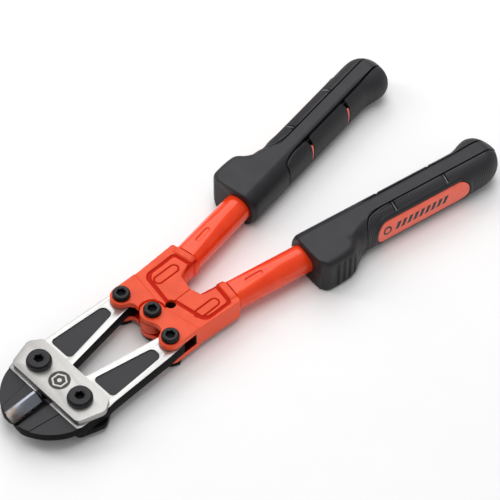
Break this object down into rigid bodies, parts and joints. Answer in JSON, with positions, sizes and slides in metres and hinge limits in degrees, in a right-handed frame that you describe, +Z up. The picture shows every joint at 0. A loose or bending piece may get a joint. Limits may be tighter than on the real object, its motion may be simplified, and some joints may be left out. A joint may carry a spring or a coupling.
{
  "type": "bolt cutters",
  "caption": "Compound-action bolt cutters: short blunt cutting jaws under a steel strap, red cast joints and tube handles with dark soft-panelled grips that fold together.",
  "frame": {"origin": "middle of the footprint on the surface that the tool lies on, jaws closed and handles together", "axes": "+Z up from the surface, +Y from the jaws towards the handles' ends, +X to the right casting, the one with the ears"},
  "size_m": [0.1302, 0.3564, 0.0268],
  "materials": {
    "cast_paint": "satin red-orange coating over a fine cast texture",
    "tube_paint": "glossy red enamel",
    "strap_steel": "fine brushed, bare",
    "jaw_steel": "ground bright on the raised faces, dark forged skin elsewhere",
    "black_oxide": "satin black oxide",
    "grip_plastic": "satin dark grey, fine grain",
    "grip_rubber": "fine crosswise ribs, matt",
    "orange_plastic": "smooth, slightly glossy"
  },
  "bodies": {
    "head": {"strap_top": "strap_steel", "strap_bottom": "strap_steel", "jaw_bolt_right": "black_oxide", "jaw_bolt_left": "black_oxide", "jaw_nut_right": "black_oxide", "jaw_nut_left": "black_oxide"},
    "right_jaw": {"jaw_right": "jaw_steel"},
    "left_jaw": {"jaw_left": "jaw_steel"},
    "right_handle": {"casting_right": "cast_paint", "tail_bolt_right": "black_oxide", "tail_nut_right": "black_oxide", "centre_bolt": "black_oxide", "centre_nut": "black_oxide", "tube_right": "tube_paint", "grip_core_right": "grip_plastic", "grip_panel_outer_right": "grip_rubber", "grip_panel_inner_right": "grip_rubber", "grip_label_insert_right": "orange_plastic", "grip_accent_strip_front_right": "orange_plastic", "grip_accent_strip_rear_right": "orange_plastic"},
    "left_handle": {"casting_left": "cast_paint", "tail_bolt_left": "black_oxide", "tail_nut_left": "black_oxide", "tube_left": "tube_paint", "grip_core_left": "grip_plastic", "grip_panel_outer_left": "grip_rubber", "grip_panel_inner_left": "grip_rubber", "grip_label_insert_left": "orange_plastic", "grip_accent_strip_front_left": "orange_plastic", "grip_accent_strip_rear_left": "orange_plastic"}
  },
  "joints": [
    {"name": "right_jaw_pivot", "type": "hinge", "parent": "head", "child": "right_jaw", "pos_m": [0.01833, -0.14165, 0.0124], "axis": [0, 0, 1], "range_deg": [0, 7.83]},
    {"name": "right_tail_pivot", "type": "hinge", "parent": "right_jaw", "child": "right_handle", "pos_m": [0.02188, -0.07372, 0.0124], "axis": [0, 0, 1], "range_deg": [-52.83, 0]},
    {"name": "handles_open", "type": "hinge", "parent": "right_handle", "child": "left_handle", "pos_m": [0, -0.06829, 0.0124], "axis": [0, 0, 1], "range_deg": [0, 90]},
    {"name": "left_jaw_pivot", "type": "hinge", "parent": "head", "child": "left_jaw", "pos_m": [-0.01833, -0.14165, 0.0124], "axis": [0, 0, 1], "range_deg": [-7.83, 0]}
  ],
  "couplings": [
    {"joint": "right_jaw_pivot", "follows": "handles_open", "ratio": 0.08695},
    {"joint": "right_tail_pivot", "follows": "handles_open", "ratio": -0.58695},
    {"joint": "left_jaw_pivot", "follows": "handles_open", "ratio": -0.08695}
  ]
}
